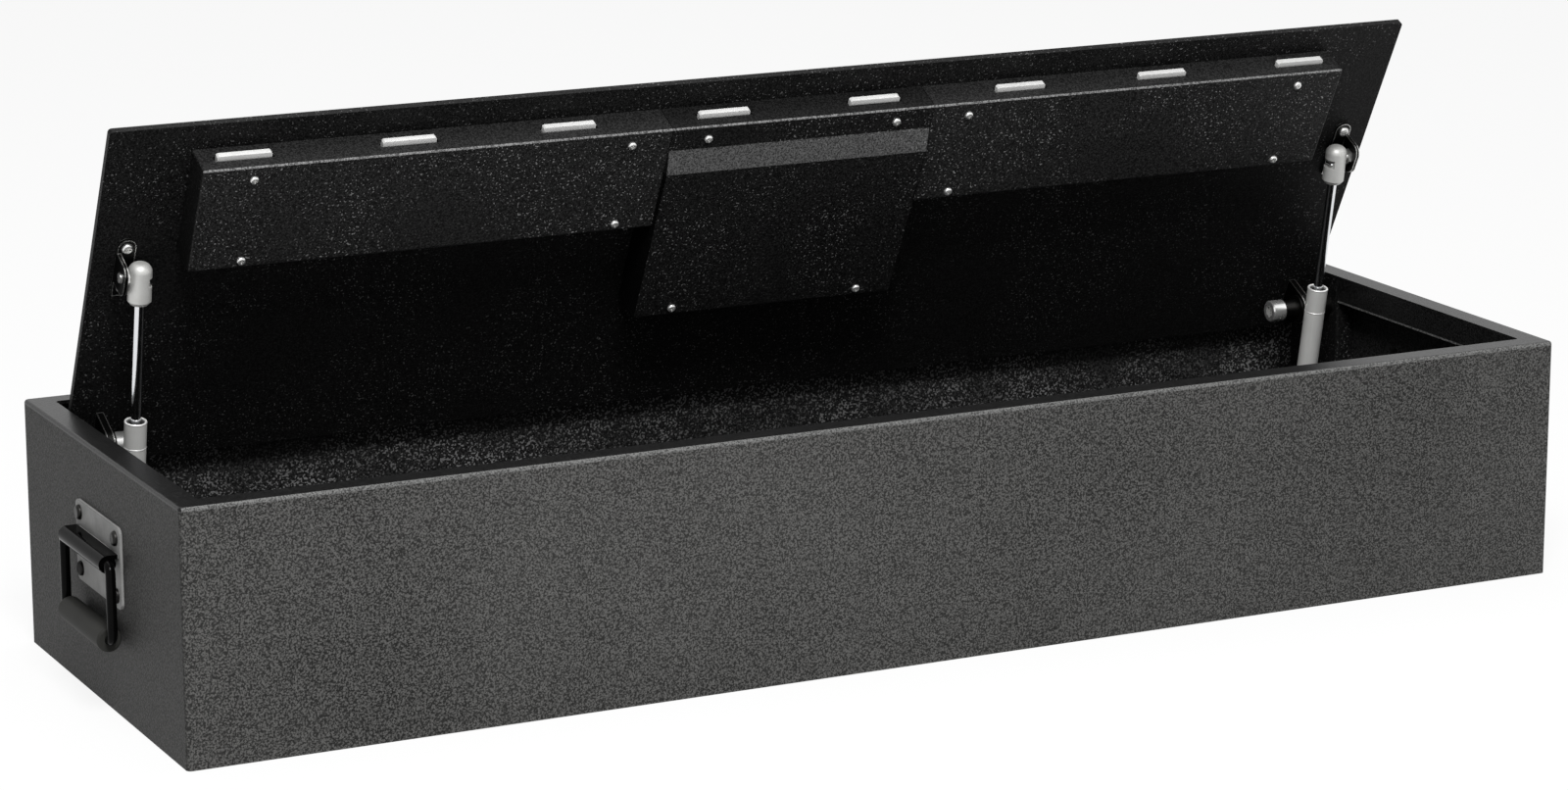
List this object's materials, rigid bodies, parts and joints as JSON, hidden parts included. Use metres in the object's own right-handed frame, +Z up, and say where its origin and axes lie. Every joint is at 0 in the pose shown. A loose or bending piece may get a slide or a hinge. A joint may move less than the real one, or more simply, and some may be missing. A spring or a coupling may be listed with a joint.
{
  "type": "vehicle trunk safe",
  "caption": "Long low steel vehicle safe with a rear-hinged lid on gas struts, a sliding multi-tab bolt bar under screwed covers, a push-button lock and drop handles.",
  "frame": {"origin": "middle of the underside", "axes": "+X along the length towards the right end, +Y from the front wall to the hinge side, +Z up; stored with the lid open"},
  "size_m": [1.263, 0.381, 0.4497],
  "materials": {
    "coat": "textured powder coat",
    "coat_black": "fine textured black powder coat",
    "gloss_black": "semi-gloss black paint",
    "handle_grey": "satin grey coat",
    "zinc": "bright zinc plate",
    "dark_steel": "blackened steel",
    "satin_steel": "satin grey tube",
    "chrome": "polished chrome",
    "grip_black": "moulded black plastic",
    "seal_black": "black seal",
    "lock_metal": "satin nickel plate"
  },
  "bodies": {
    "box": {"shell_body": "coat", "floor_plate": "coat", "rim_frame": "coat", "hinge_pillar_right": "coat_black", "hinge_pillar_left": "coat_black", "pivot_bolts": "zinc", "pivot_sleeves": "dark_steel", "pivot_washers": "dark_steel", "pivot_nuts": "zinc", "strut_bracket_lower_right": "zinc", "strut_bracket_lower_left": "zinc", "lower_ball_studs": "zinc", "lower_mount_screws": "zinc", "handle_plate_right": "handle_grey", "handle_plate_left": "handle_grey", "handle_rivets": "dark_steel"},
    "lid": {"lid_plate": "coat_black", "hinge_ear_right": "coat_black", "hinge_ear_left": "coat_black", "lock_cover_right": "coat_black", "lock_cover_left": "coat_black", "lock_cover_middle": "coat_black", "cover_screws": "zinc", "cover_posts": "zinc", "bolt_bridges": "zinc", "guide_posts": "zinc", "guide_clips": "zinc", "strut_bracket_upper_right": "zinc", "strut_bracket_upper_left": "zinc", "upper_ball_studs": "zinc", "upper_mount_screws": "zinc", "lock_case": "zinc", "lock_face": "lock_metal", "spindle_bush": "lock_metal"},
    "bolt_bar": {"bolt_bar": "zinc"},
    "latch": {"latch_bolt": "zinc"},
    "knob": {"turn_knob": "lock_metal", "spindle": "zinc", "drive_pinion": "zinc"},
    "bail_right": {"handle_bail_right": "gloss_black", "handle_grip_right": "grip_black"},
    "bail_left": {"handle_bail_left": "gloss_black", "handle_grip_left": "grip_black"},
    "button_1": {"push_button_1": "lock_metal"},
    "button_2": {"push_button_2": "lock_metal"},
    "button_3": {"push_button_3": "lock_metal"},
    "button_4": {"push_button_4": "lock_metal"},
    "button_5": {"push_button_5": "lock_metal"},
    "strut_tube_right": {"strut_tube_right": "satin_steel", "strut_gland_right": "seal_black", "strut_socket_lower_right": "satin_steel"},
    "strut_rod_right": {"strut_rod_right": "chrome", "strut_socket_upper_right": "satin_steel", "strut_clip_right": "chrome"},
    "strut_tube_left": {"strut_tube_left": "satin_steel", "strut_gland_left": "seal_black", "strut_socket_lower_left": "satin_steel"},
    "strut_rod_left": {"strut_rod_left": "chrome", "strut_socket_upper_left": "satin_steel", "strut_clip_left": "chrome"}
  },
  "joints": [
    {"name": "lid_hinge", "type": "hinge", "parent": "box", "child": "lid", "pos_m": [0, 0.1295, 0.1732], "axis": [1, 0, 0], "range_deg": [0, 62.75], "stiffness_Nm_per_rad": 26.7, "springref_deg": -32.91},
    {"name": "bolt_slide", "type": "slide", "parent": "lid", "child": "bolt_bar", "axis": [0, -0.4579, 0.889], "range_m": [0, 0.02827]},
    {"name": "knob_turn", "type": "hinge", "parent": "lid", "child": "knob", "pos_m": [0, 0.0774, 0.32634], "axis": [0, -0.889, -0.4579], "range_deg": [0, 90.05]},
    {"name": "latch_slide", "type": "slide", "parent": "lid", "child": "latch", "axis": [-1, 0, 0], "range_m": [0, 0.007]},
    {"name": "bail_right_swing", "type": "hinge", "parent": "box", "child": "bail_right", "pos_m": [0.6215, 0, 0.1263], "axis": [0, -1, 0], "range_deg": [0, 90]},
    {"name": "bail_left_swing", "type": "hinge", "parent": "box", "child": "bail_left", "pos_m": [-0.6215, 0, 0.1263], "axis": [0, 1, 0], "range_deg": [0, 90]},
    {"name": "button_1_press", "type": "slide", "parent": "lid", "child": "button_1", "axis": [0, -0.889, -0.4579], "range_m": [0, 0.002], "stiffness_N_per_m": 800, "springref_m": -0.002},
    {"name": "button_2_press", "type": "slide", "parent": "lid", "child": "button_2", "axis": [0, -0.889, -0.4579], "range_m": [0, 0.002], "stiffness_N_per_m": 800, "springref_m": -0.002},
    {"name": "button_3_press", "type": "slide", "parent": "lid", "child": "button_3", "axis": [0, -0.889, -0.4579], "range_m": [0, 0.002], "stiffness_N_per_m": 800, "springref_m": -0.002},
    {"name": "button_4_press", "type": "slide", "parent": "lid", "child": "button_4", "axis": [0, -0.889, -0.4579], "range_m": [0, 0.002], "stiffness_N_per_m": 800, "springref_m": -0.002},
    {"name": "button_5_press", "type": "slide", "parent": "lid", "child": "button_5", "axis": [0, -0.889, -0.4579], "range_m": [0, 0.002], "stiffness_N_per_m": 800, "springref_m": -0.002},
    {"name": "strut_right_foot", "type": "hinge", "parent": "box", "child": "strut_tube_right", "pos_m": [0.5507, 0.119, 0.025], "axis": [1, 0, 0], "range_deg": [0, 33.56]},
    {"name": "strut_right_head", "type": "hinge", "parent": "lid", "child": "strut_rod_right", "pos_m": [0.5507, 0.06156, 0.32324], "axis": [1, 0, 0], "range_deg": [-29.29, 0]},
    {"name": "strut_left_foot", "type": "hinge", "parent": "box", "child": "strut_tube_left", "pos_m": [-0.5507, 0.119, 0.025], "axis": [1, 0, 0], "range_deg": [0, 33.56]},
    {"name": "strut_left_head", "type": "hinge", "parent": "lid", "child": "strut_rod_left", "pos_m": [-0.5507, 0.06156, 0.32324], "axis": [1, 0, 0], "range_deg": [-29.29, 0]}
  ],
  "couplings": [
    {"joint": "knob_turn", "follows": "bolt_slide", "rad_per_m": 55.556},
    {"joint": "strut_right_foot", "follows": "lid_hinge", "ratio": 0.534},
    {"joint": "strut_right_head", "follows": "lid_hinge", "ratio": -0.466},
    {"joint": "strut_left_foot", "follows": "lid_hinge", "ratio": 0.534},
    {"joint": "strut_left_head", "follows": "lid_hinge", "ratio": -0.466}
  ]
}
